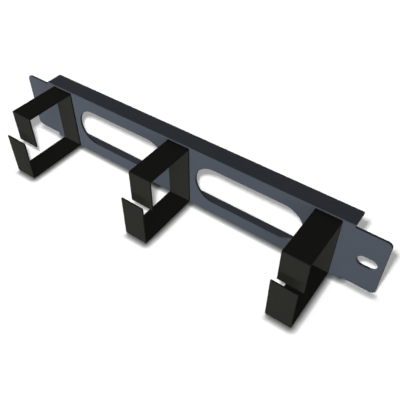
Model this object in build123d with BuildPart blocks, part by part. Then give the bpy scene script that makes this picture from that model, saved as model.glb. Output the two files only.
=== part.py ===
from build123d import *
import os

# Rack cable management panel, one rack unit high, for a ten-inch rack.
# A folded sheet carries three open rings, each bent from one strip and spot welded to its front.
# X runs along the panel, Y points back into the rack and Z is up. The origin is midway
# between the two ear slots, on the rear face of the sheet, which lies against the rack posts.

# Folded sheet
panel_width = 254.0
panel_height = 42.7
sheet_thickness = 1.5
flange_depth = 11.2
flange_corner_radius = 0.5

# Folds of the sheet and of the rings, pressed tight so that the corners look sharp
fold_outside = 0.5
fold_inside = 0.2

# Ears, and the slots in them for the rack screws
ear_length = 19.3
ear_corner_radius = 3.0
ear_slot_inset = 8.75
ear_slot_length = 11.0
ear_slot_height = 7.0

# Rings, with a step down from the panel's top and bottom edges and an inset from the flange's ends
ring_names = ["ring_left", "ring_middle", "ring_right"]
ring_width = 15.0
ring_thickness = 1.0
ring_step = 0.5
ring_inset = 6.5
upper_arm_reach = 34.6
mouth_gap = 6.9
lower_lip_length = 28.0
lip_overlap = 7.5

# Oblong cut-outs, one in each bay between two rings
cut_out_height = 25.5
cut_out_gap = 4.1

# Places and sizes of the sheet that follow
sheet_front = -sheet_thickness
flange_edge = sheet_front + flange_depth
flange_length = panel_width - 2 * ear_length
panel_top = panel_height / 2
ear_height = panel_height - 2 * (sheet_thickness + fold_inside)
ear_slot_spacing = panel_width - 2 * ear_slot_inset

# Places and sizes of the rings that follow
ring_top = panel_top - ring_step
upper_lip_front = sheet_front - upper_arm_reach
lower_lip_front = upper_lip_front - mouth_gap - ring_thickness
lower_lip_end = lower_lip_length - ring_top
upper_lip_end = lower_lip_end - lip_overlap
bay_count = len(ring_names) - 1
first_ring_x = ring_inset + ring_width / 2 - flange_length / 2
ring_pitch = -2 * first_ring_x / bay_count
cut_out_length = ring_pitch - ring_width - 2 * cut_out_gap

os.makedirs("parts", exist_ok=True)

# The sheet's outer face, from the free edge of the top flange round to that of the bottom one
sheet_corners = [
    (flange_edge, panel_top),
    (sheet_front, panel_top),
    (sheet_front, -panel_top),
    (flange_edge, -panel_top),
]

with BuildPart() as panel_sheet:
    # Channel: the front wall with both flanges folded back
    with BuildSketch(Plane.YZ.offset(-flange_length / 2)) as channel:
        with BuildLine():
            Polyline(*sheet_corners)
            offset(amount=sheet_thickness, side=Side.LEFT)
        make_face()
        inside_corners = channel.vertices().group_by(Axis.X)[1]
        fillet(inside_corners, radius=fold_inside)
        outside_corners = channel.vertices().group_by(Axis.X)[0]
        fillet(outside_corners, radius=fold_outside)
    extrude(amount=flange_length)

    # Free corners of the flanges, eased
    flange_corners = panel_sheet.edges().filter_by(Axis.Z).group_by(Axis.Y)[-1]
    fillet(flange_corners, radius=flange_corner_radius)

    # Ears: the front wall runs on past the flanges, as tall as its flat between the inside folds
    with BuildSketch(Plane.XZ):
        RectangleRounded(panel_width, ear_height, ear_corner_radius)
    extrude(amount=sheet_thickness)

    # Oblong cut-outs, each midway between two rings
    with BuildSketch(Plane.XZ):
        with GridLocations(ring_pitch, 0, bay_count, 1):
            SlotOverall(cut_out_length, cut_out_height)
    extrude(amount=sheet_thickness, mode=Mode.SUBTRACT)

    # Slots for the rack screws
    with BuildSketch(Plane.XZ):
        with GridLocations(ear_slot_spacing, 0, 2, 1):
            SlotOverall(ear_slot_length, ear_slot_height)
    extrude(amount=sheet_thickness, mode=Mode.SUBTRACT)

panel_sheet.part.label = "panel_sheet"
export_step(panel_sheet.part, "parts/panel_sheet.step")

# A ring's outer face, from the end of the hanging upper lip round to that of the standing lower lip
ring_corners = [
    (upper_lip_front, upper_lip_end),
    (upper_lip_front, ring_top),
    (sheet_front, ring_top),
    (sheet_front, -ring_top),
    (lower_lip_front, -ring_top),
    (lower_lip_front, lower_lip_end),
]

for index, ring_name in enumerate(ring_names):
    ring_x = first_ring_x + index * ring_pitch

    # Strip bent at four corners, its back flat on the panel's front
    with BuildPart() as ring:
        with BuildSketch(Plane.YZ.offset(ring_x - ring_width / 2)) as strip:
            with BuildLine():
                Polyline(*ring_corners)
                offset(amount=ring_thickness, side=Side.RIGHT)
            make_face()
            rows = strip.vertices().group_by(Axis.Y)
            inside_corners = rows[1] + rows[-2]
            fillet(inside_corners, radius=fold_inside)
            rows = strip.vertices().group_by(Axis.Y)
            outside_corners = rows[0] + rows[-1]
            fillet(outside_corners, radius=fold_outside)
        extrude(amount=ring_width)

    ring.part.label = ring_name
    export_step(ring.part, f"parts/{ring_name}.step")
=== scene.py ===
# %% [markdown]
# This lesson dresses a rack cable management panel: one folded steel sheet that carries three
# open cable rings. The construction arrives finished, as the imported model, so the work here is
# what the eye adds to it: edges softened by baked powder, the two coats of powder themselves,
# and the floor, light and camera of a small product studio.
# Everything is in metres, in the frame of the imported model. X runs along the panel, Y points
# back into the rack and Z is up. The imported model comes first, because every later step
# measures from it.

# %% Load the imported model
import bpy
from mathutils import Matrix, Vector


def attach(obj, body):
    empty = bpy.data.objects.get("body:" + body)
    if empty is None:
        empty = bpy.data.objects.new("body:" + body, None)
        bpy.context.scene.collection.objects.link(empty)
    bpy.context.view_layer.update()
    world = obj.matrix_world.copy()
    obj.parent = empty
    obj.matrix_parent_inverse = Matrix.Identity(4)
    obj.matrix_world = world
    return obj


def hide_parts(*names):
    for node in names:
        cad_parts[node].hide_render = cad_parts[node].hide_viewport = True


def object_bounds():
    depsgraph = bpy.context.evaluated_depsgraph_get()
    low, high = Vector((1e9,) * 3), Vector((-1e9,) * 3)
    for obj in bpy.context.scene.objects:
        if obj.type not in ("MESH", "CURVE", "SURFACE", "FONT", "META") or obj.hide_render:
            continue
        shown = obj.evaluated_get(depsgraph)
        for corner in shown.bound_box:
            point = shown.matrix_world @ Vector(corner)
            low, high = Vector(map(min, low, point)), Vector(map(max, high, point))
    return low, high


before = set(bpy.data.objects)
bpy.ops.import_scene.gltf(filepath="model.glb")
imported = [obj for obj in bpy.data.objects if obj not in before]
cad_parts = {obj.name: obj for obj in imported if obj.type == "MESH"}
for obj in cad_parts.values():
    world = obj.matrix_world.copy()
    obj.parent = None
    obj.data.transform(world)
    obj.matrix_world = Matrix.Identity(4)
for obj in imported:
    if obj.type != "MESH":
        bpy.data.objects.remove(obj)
cad_low, cad_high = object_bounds()
print("packed size", tuple(round(side, 4) for side in cad_high - cad_low))

# %% [markdown]
# Blender counts in metres and sheetwork is drawn in millimetres, so a small size is written as
# a number times mm. The Standard view shows a colour as it is written. The view that Blender
# starts with leaves room for very bright lights, and would turn a white floor grey.

# %% Other modules, the unit and the view
import math
import bpy
from mathutils import Quaternion, Vector

mm = 0.001
bpy.context.scene.view_settings.view_transform = "Standard"
print("pieces to dress", sorted(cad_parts))

# %% [markdown]
# On the real panel no edge is razor sharp. Laser cutting leaves a fine corner, tumbling takes
# the bite off it, and powder flows round it in the oven. A bevel in the material would fake
# this at a shallow angle only, so the mesh itself is bevelled.
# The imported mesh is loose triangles, with shading normals of their own that would outlive any
# change of shape. So each piece starts as a copy of it, loses those normals, is merged, has the
# triangles of each flat dissolved into one face, and only then gets a bevel. The fold lines
# are made of small turns, so a limit on the angle keeps the bevel off them and on the cut
# edges alone. Weighted normals then keep the large flats flat while the bevels shade round.

# %% Soften the cut edges of one piece
merge_distance = 0.001 * mm
flat_angle = math.radians(0.5)
edge_softness = 0.16 * mm
edge_segments = 3
cut_edge_angle = math.radians(50)
smooth_angle = math.radians(40)


def softened(node_name, piece_name):
    """A copy of a CAD node with its cut edges eased, which stands in for the node."""
    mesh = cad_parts[node_name].data.copy()
    piece = bpy.data.objects.new(piece_name, mesh)
    bpy.context.scene.collection.objects.link(piece)
    bpy.ops.object.select_all(action="DESELECT")
    piece.select_set(True)
    bpy.context.view_layer.objects.active = piece
    bpy.ops.mesh.customdata_custom_splitnormals_clear()
    bpy.ops.object.mode_set(mode="EDIT")
    bpy.ops.mesh.select_all(action="SELECT")
    bpy.ops.mesh.remove_doubles(threshold=merge_distance)
    bpy.ops.mesh.dissolve_limited(angle_limit=flat_angle)
    bpy.ops.object.mode_set(mode="OBJECT")
    bevel = piece.modifiers.new("eased edges", "BEVEL")
    bevel.width = edge_softness
    bevel.segments = edge_segments
    bevel.limit_method = "ANGLE"
    bevel.angle_limit = cut_edge_angle
    bevel.use_clamp_overlap = False
    bpy.ops.object.modifier_apply(modifier=bevel.name)
    bpy.ops.object.shade_smooth_by_angle(angle=smooth_angle)
    normals = piece.modifiers.new("flat faces", "WEIGHTED_NORMAL")
    normals.keep_sharp = True
    bpy.ops.object.modifier_apply(modifier=normals.name)
    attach(piece, "root")
    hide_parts(node_name)
    print(piece_name, len(piece.data.vertices), "vertices", len(piece.data.polygons), "faces")
    return piece


# %% [markdown]
# The panel is one piece, and the three rings are alike, so the rings are softened in a loop
# over their nodes. The panel's own node is the only one that isn't a ring.

# %% Soften the sheet and the rings
coated_sheet = softened("panel_sheet", "coated_sheet")
ring_nodes = sorted(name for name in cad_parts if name.startswith("ring_"))
coated_rings = [softened(name, "coated_" + name) for name in ring_nodes]

# %% [markdown]
# Both parts wear matte polyester powder, sprayed dry and melted in an oven. Up close such a
# coat is never one colour: the film is a little thicker in some places than in others, the
# melted grains leave a fine speckle of bumps, and the skin over them keeps a faint orange
# peel. An image could show this, but it would need unwrapping and would blur up close, so
# three noise textures on Object coordinates do it at their real scale instead.
# A coat needs the same few nodes several times, so each kind gets a small helper first. A
# noise seldom leaves the middle of its range, so the range node spreads only that middle.

# %% Helpers for nodes
noise_low = 0.3
noise_high = 0.7


def add_noise(tree, place, cells_per_metre, detail, label):
    """A noise whose cells keep their real size on every piece."""
    noise = tree.nodes.new("ShaderNodeTexNoise")
    noise.label = label
    noise.inputs["Scale"].default_value = cells_per_metre
    noise.inputs["Detail"].default_value = detail
    tree.links.new(place.outputs["Object"], noise.inputs["Vector"])
    return noise


def add_range(tree, noise, low, high, label):
    """Spreads the middle of a noise over low to high."""
    spread = tree.nodes.new("ShaderNodeMapRange")
    spread.label = label
    spread.inputs["From Min"].default_value = noise_low
    spread.inputs["From Max"].default_value = noise_high
    spread.inputs["To Min"].default_value = low
    spread.inputs["To Max"].default_value = high
    tree.links.new(noise.outputs["Fac"], spread.inputs["Value"])
    return spread.outputs["Result"]


def add_relief(tree, noise, depth, label):
    """Bumps of the given depth, in metres."""
    relief = tree.nodes.new("ShaderNodeBump")
    relief.label = label
    relief.inputs["Distance"].default_value = depth
    tree.links.new(noise.outputs["Fac"], relief.inputs["Height"])
    return relief


def add_math(tree, operation, *values):
    """One step of arithmetic, on numbers or on the outputs of other nodes."""
    step = tree.nodes.new("ShaderNodeMath")
    step.operation = operation
    for socket, value in zip(step.inputs, values):
        if isinstance(value, bpy.types.NodeSocket):
            tree.links.new(value, socket)
        else:
            socket.default_value = value
    return step.outputs["Value"]


# %% [markdown]
# The film's noise has cells of several centimetres and goes to the colour. The grains' noise
# has cells of under half a millimetre and goes to the colour and the relief. The orange peel's
# noise has cells of a millimetre or two and goes to the gloss and the relief. In the colour,
# film and grains each add a share of the way from the coat's deep tone to its light one.
# One function builds a coat from its own two tones, its own grain and its own gloss, because
# the two coats differ in nothing else.

# %% A coat of powder
film_per_metre = 14.0
film_detail = 2.0
film_tones = (0.15, 0.55)
grain_detail = 1.0
grain_tones = (0.0, 0.4)
grain_depth = 0.04 * mm
peel_per_metre = 620.0
peel_detail = 3.0
peel_depth = 0.06 * mm


def powder_coat(name, deep_tone, light_tone, grains_per_metre, sheen, roughness):
    """A matte coat that runs from its deep tone to its light one."""
    coat = bpy.data.materials.new(name)
    coat.use_nodes = True
    tree = coat.node_tree
    surface = tree.nodes["Principled BSDF"]
    place = tree.nodes.new("ShaderNodeTexCoord")

    film = add_noise(tree, place, film_per_metre, film_detail, "film thickness")
    grain = add_noise(tree, place, grains_per_metre, grain_detail, "melted grains")
    peel = add_noise(tree, place, peel_per_metre, peel_detail, "orange peel")

    film_tone = add_range(tree, film, *film_tones, "film tone")
    grain_tone = add_range(tree, grain, *grain_tones, "grain tone")
    colour = tree.nodes.new("ShaderNodeMix")
    colour.data_type = "RGBA"
    colour.inputs["A"].default_value = (*deep_tone, 1.0)
    colour.inputs["B"].default_value = (*light_tone, 1.0)
    tree.links.new(add_math(tree, "ADD", film_tone, grain_tone), colour.inputs["Factor"])
    tree.links.new(colour.outputs["Result"], surface.inputs["Base Color"])

    gloss = add_range(tree, peel, *roughness, "gloss")
    tree.links.new(gloss, surface.inputs["Roughness"])
    surface.inputs["Specular IOR Level"].default_value = sheen

    skin = add_relief(tree, peel, peel_depth, "skin")
    bumps = add_relief(tree, grain, grain_depth, "grain bumps")
    tree.links.new(skin.outputs["Normal"], bumps.inputs["Normal"])
    tree.links.new(bumps.outputs["Normal"], surface.inputs["Normal"])
    print(name, "made of", len(tree.nodes), "nodes")
    return coat


# %% [markdown]
# The sheet is slate grey with a cool cast, and the rings are a warm near black with a slightly
# coarser grain. Both are dead matte: the picture shows no highlight on either, and a dark coat
# with even a little gloss would pick up the white floor at shallow angles and turn grey there.
# So the specular level is low and the roughness high, and more so on the rings.
# The tones are linear values, which look much lighter on screen than the numbers suggest.

# %% The two coats
slate_coat = powder_coat(
    "slate_coat", deep_tone=(0.0614, 0.0712, 0.0892), light_tone=(0.0872, 0.1012, 0.1268),
    grains_per_metre=2600.0, sheen=0.05, roughness=(0.76, 0.92))
black_coat = powder_coat(
    "black_coat", deep_tone=(0.0205, 0.0204, 0.0175), light_tone=(0.0300, 0.0299, 0.0257),
    grains_per_metre=2200.0, sheen=0.01, roughness=(0.86, 1.0))

# %% [markdown]
# In the picture the sheet and the rings wear coats of their own, and powder covers a piece all
# over, its cut edges too. A copied mesh brings the plain CAD material along in its slots, so
# these are cleared before the coat goes on, and one material then covers every face.

# %% Coat every piece
def finish_with(piece, coat):
    """One coat all over a piece, in its one material slot."""
    piece.data.materials.clear()
    piece.data.materials.append(coat)


finish_with(coated_sheet, slate_coat)
for ring in coated_rings:
    finish_with(ring, black_coat)
print("coated", 1 + len(coated_rings), "pieces")

# %% [markdown]
# The photograph's panel stands on plain white. A white floor is easy to draw and hard to light:
# its bounce would flood the dark tops and undersides of the part. So the floor is white only
# to rays from the camera, mirrors and glass, and a dim grey to the soft light that strikes the
# part. Light Path tells these rays apart: it has an output for each kind, which is one or zero.
# The largest of the three is one as soon as any of them is.

# %% Paper for the stage
floor_bounce = 0.12


def seen_ray(tree):
    """One for rays from the camera, mirrors and glass, and zero for soft light."""
    ray = tree.nodes.new("ShaderNodeLightPath")
    seen = add_math(tree, "MAXIMUM", ray.outputs["Is Camera Ray"], ray.outputs["Is Glossy Ray"])
    return add_math(tree, "MAXIMUM", seen, ray.outputs["Is Transmission Ray"])


def stage_material(name, seen_shader, seen_white):
    """Paper that looks white, and is a dim grey to soft light."""
    material = bpy.data.materials.new(name)
    material.use_nodes = True
    tree = material.node_tree
    tree.nodes.remove(tree.nodes["Principled BSDF"])
    dim = tree.nodes.new("ShaderNodeBsdfDiffuse")
    dim.inputs["Color"].default_value = (floor_bounce, floor_bounce, floor_bounce, 1.0)
    bright = tree.nodes.new(seen_shader)
    bright.name = "seen paper"
    bright.inputs["Color"].default_value = (seen_white, seen_white, seen_white, 1.0)
    choose = tree.nodes.new("ShaderNodeMixShader")
    tree.links.new(seen_ray(tree), choose.inputs["Fac"])
    tree.links.new(dim.outputs[0], choose.inputs[1])
    tree.links.new(bright.outputs[0], choose.inputs[2])
    tree.links.new(choose.outputs["Shader"], tree.nodes["Material Output"].inputs["Surface"])
    return material


# %% [markdown]
# The floor is a disc of paper as low as the part's lowest point. It is diffuse, so that it
# keeps the part's shadows. Low views look past its edge, so a ring of backdrop stands round
# it, which glows white by itself and needs no lamp. It throws no shadow, because a shadow
# would draw a grey line along its foot.

# %% Floor and backdrop
stage_radius = 1.5
stage_sides = 96
floor_white = 0.9
backdrop_height = 0.7
backdrop_white = 1.0

bpy.ops.mesh.primitive_circle_add(
    vertices=stage_sides, radius=stage_radius, fill_type="NGON", location=(0, 0, cad_low.z))
floor = bpy.context.object
floor.name = "floor"
floor_paper = stage_material("floor_paper", "ShaderNodeBsdfDiffuse", floor_white)
floor.data.materials.append(floor_paper)

bpy.ops.mesh.primitive_cylinder_add(
    vertices=stage_sides, radius=stage_radius, depth=backdrop_height, end_fill_type="NOTHING",
    location=(0, 0, cad_low.z + backdrop_height / 2))
backdrop = bpy.context.object
backdrop.name = "backdrop"
backdrop.visible_shadow = False
backdrop.data.materials.append(
    stage_material("backdrop_paper", "ShaderNodeEmission", backdrop_white))
print("floor at", round(cad_low.z, 5))

# %% [markdown]
# Where a real object meets paper, a thin dark shade runs along its foot. Two or three lamps
# alone never make it dark enough, because each of them lights what the others leave dark.
# Ambient occlusion finds it from the shapes themselves: it sends short rays out from each point
# of the floor and counts how many meet the part. The rays lean to the back left, the side that
# the floor's sun will shine from, so the shade lies to the front right of each foot, whichever
# way the camera looks. A power makes it steep, so that it stays close, and it never gets quite
# black, because some light always finds its way in.

# %% Contact shade in the floor's paper
shade_lean = {"X": -0.88, "Y": 0.45, "Z": 0.15}
shade_reach = 4.0 * mm
shade_steepness = 4.0
shade_darkest = 0.05


def add_contact_shade(tree):
    """Darkens the seen paper where the part closes it in."""
    lean = tree.nodes.new("ShaderNodeCombineXYZ")
    for axis, amount in shade_lean.items():
        lean.inputs[axis].default_value = amount
    occlusion = tree.nodes.new("ShaderNodeAmbientOcclusion")
    occlusion.inputs["Distance"].default_value = shade_reach
    tree.links.new(lean.outputs["Vector"], occlusion.inputs["Normal"])
    steep = add_math(tree, "POWER", occlusion.outputs["AO"], shade_steepness)
    level = add_math(tree, "MULTIPLY_ADD", steep, floor_white - shade_darkest, shade_darkest)
    tree.links.new(level, tree.nodes["seen paper"].inputs["Color"])


add_contact_shade(floor_paper.node_tree)
print("contact shade reaches", shade_reach, "m from the part")

# %% [markdown]
# The camera stands where the photographer's stood. Its place was found by matching the part's
# edges to the picture, and is written the way a photographer would say it: the point it looks
# at, the bearing and height of the view, the distance, a hair of roll and the lens. Blender
# takes the width of the film and the length of the lens in millimetres as they are.

# %% Camera
view_bearing = math.radians(35.709)
view_height = math.radians(45.051)
view_roll = math.radians(0.109)
view_distance = 316.1 * mm
aim_point = Vector((15.0, -1.5, -15.6)) * mm
film_width = 36.0
lens_length = 47.02
nearest_seen = 0.01
farthest_seen = 20.0

back_to_camera = Vector((
    math.sin(view_bearing) * math.cos(view_height),
    -math.cos(view_bearing) * math.cos(view_height),
    math.sin(view_height)))
upright = (-back_to_camera).to_track_quat("-Z", "Y")
bpy.ops.object.camera_add(location=aim_point + back_to_camera * view_distance)
camera = bpy.context.object
camera.name = "photo_camera"
camera.rotation_euler = (upright @ Quaternion((0, 0, 1), view_roll)).to_euler()
camera.data.sensor_width = film_width
camera.data.lens = lens_length
camera.data.clip_start = nearest_seen
camera.data.clip_end = farthest_seen
bpy.context.scene.camera = camera
print("camera at", tuple(round(c, 4) for c in camera.location))

# %% [markdown]
# The picture's light comes from the front: the front faces are bright, the tops are at about a
# quarter of that, and the edges that face right are nearly black. Four lamps and a sky give it.
# Each lamp is told what it lights, by Blender's light linking, so that none of those on the
# part floods the floor. Their places are given by the bearing from straight in front.

# %% Helpers for lamps
def only_lights(lamp, targets):
    """The lamp lights the targets and nothing else, and isn't seen itself."""
    group = bpy.data.collections.new(lamp.name + "_lights")
    for target in targets:
        group.objects.link(target)
    lamp.light_linking.receiver_collection = group
    lamp.visible_camera = False


def around(bearing, distance, height):
    """A place round the panel, by its bearing from straight in front, positive to the right."""
    bearing = math.radians(bearing)
    return Vector((math.sin(bearing) * distance, -math.cos(bearing) * distance, height))


# %% [markdown]
# A grey sky fills every hollow with the same soft light, as the white walls of a studio do. It
# is a little warm, because the tops of the rings are in the picture, and they see little else.

# %% Grey sky
sky_colour = (1.0, 0.96, 0.90, 1.0)
sky_strength = 0.094

world = bpy.data.worlds.new("grey_sky")
bpy.context.scene.world = world
world.use_nodes = True
sky = world.node_tree.nodes["Background"]
sky.inputs["Color"].default_value = sky_colour
sky.inputs["Strength"].default_value = sky_strength
print("sky strength", sky_strength)

# %% [markdown]
# Two small keys, at the front left and far left, throw no shadows, because in the picture the
# rings throw none across the sheet. The light of the far left one grows weaker along the panel,
# which gives the front its slow fade to the right. A low strip at the front right does throw
# shadows, and brings the soft shade behind the lower lips. One behind keeps the back readable.
# All four face the origin, which is in the middle of the panel.

# %% Four soft lamps on the part
key_distance = 1.0
key_height = 0.07
key_side = 0.2
strip_distance = 1.1


def add_soft_lamp(name, place, width, height, power):
    """A panel of light that faces the origin and lights the part alone."""
    bpy.ops.object.light_add(type="AREA", location=place)
    lamp = bpy.context.object
    lamp.name = name
    lamp.data.shape = "RECTANGLE"
    lamp.data.size = width
    lamp.data.size_y = height
    lamp.data.energy = power
    lamp.rotation_euler = (-place).to_track_quat("-Z", "Y").to_euler()
    only_lights(lamp, [coated_sheet, *coated_rings])
    print(name, "gives", power, "watts")
    return lamp


front_key = add_soft_lamp(
    "front_key", around(bearing=-30, distance=key_distance, height=key_height),
    width=key_side, height=key_side, power=4.1)
left_key = add_soft_lamp(
    "left_key", around(bearing=-75, distance=key_distance, height=key_height),
    width=key_side, height=key_side, power=11.6)
for key in (front_key, left_key):
    key.data.use_shadow = False
add_soft_lamp(
    "front_right_strip", around(bearing=25, distance=strip_distance, height=0.095),
    width=0.8, height=0.22, power=4.6)
add_soft_lamp(
    "rear_strip", around(bearing=-165, distance=strip_distance, height=0.13),
    width=1.0, height=0.3, power=10.0)

# %% [markdown]
# The floor has two lamps of its own, which light nothing else. The first is a sun that stands
# almost overhead, a little to the back left. It gives about a third of the floor's light, and
# the soft shadow under the part. A sun's strength is its light on each square metre, and matte
# paper sends one part in pi of that, times its own colour, to the eye. So pi times the share,
# over the paper's colour, comes out as that share of white.

# %% High sun
sun_share = 0.30
sun_direction = Vector((0.08, -0.048, -1.0))
sun_angle = math.radians(7)

bpy.ops.object.light_add(type="SUN")
high_sun = bpy.context.object
high_sun.name = "high_sun"
high_sun.data.angle = sun_angle
high_sun.data.energy = math.pi * sun_share / floor_white
high_sun.rotation_euler = sun_direction.to_track_quat("-Z", "Y").to_euler()
only_lights(high_sun, [floor])
print("sun strength", round(high_sun.data.energy, 3))

# %% [markdown]
# In the picture a narrow shadow peeps out at the lower right of the raised edges too, high
# above the floor. Only a lamp close beside the camera can put it there, a little to the
# camera's upper left, and it is the floor's main lamp. Neither shadow can take away more than
# its own lamp's share of the light, so both of them stay pale, from whichever side one looks.
# A bare lamp so close would light the near floor more than the far floor: its light falls with
# the square of the distance, and strikes the floor at an ever lower angle. Its strength grows
# with the cube of the distance instead, which evens both out. Its power is the one that gives
# the floor straight below it the lamp's share of white.

# %% Lamp beside the camera
camera_lamp_share = 0.66
camera_lamp_offset = Vector((-0.0165, 0.027, 0.0))
camera_lamp_radius = 0.010
evening_power = 3.0

# The camera's matrix follows its turn only after an update
bpy.context.view_layer.update()
bpy.ops.object.light_add(type="POINT", location=camera.matrix_world @ camera_lamp_offset)
camera_lamp = bpy.context.object
camera_lamp.name = "camera_lamp"
camera_lamp.data.shadow_soft_size = camera_lamp_radius
lamp_height = camera_lamp.location.z - cad_low.z
camera_lamp.data.energy = (2 * math.pi * lamp_height) ** 2 * camera_lamp_share / floor_white
camera_lamp.data.use_nodes = True
lamp_tree = camera_lamp.data.node_tree
ray = lamp_tree.nodes.new("ShaderNodeLightPath")
heights_away = add_math(lamp_tree, "DIVIDE", ray.outputs["Ray Length"], lamp_height)
strength = add_math(lamp_tree, "POWER", heights_away, evening_power)
lamp_tree.links.new(strength, lamp_tree.nodes["Emission"].inputs["Strength"])
only_lights(camera_lamp, [floor])
print("camera lamp", round(lamp_height, 4), "above the floor")
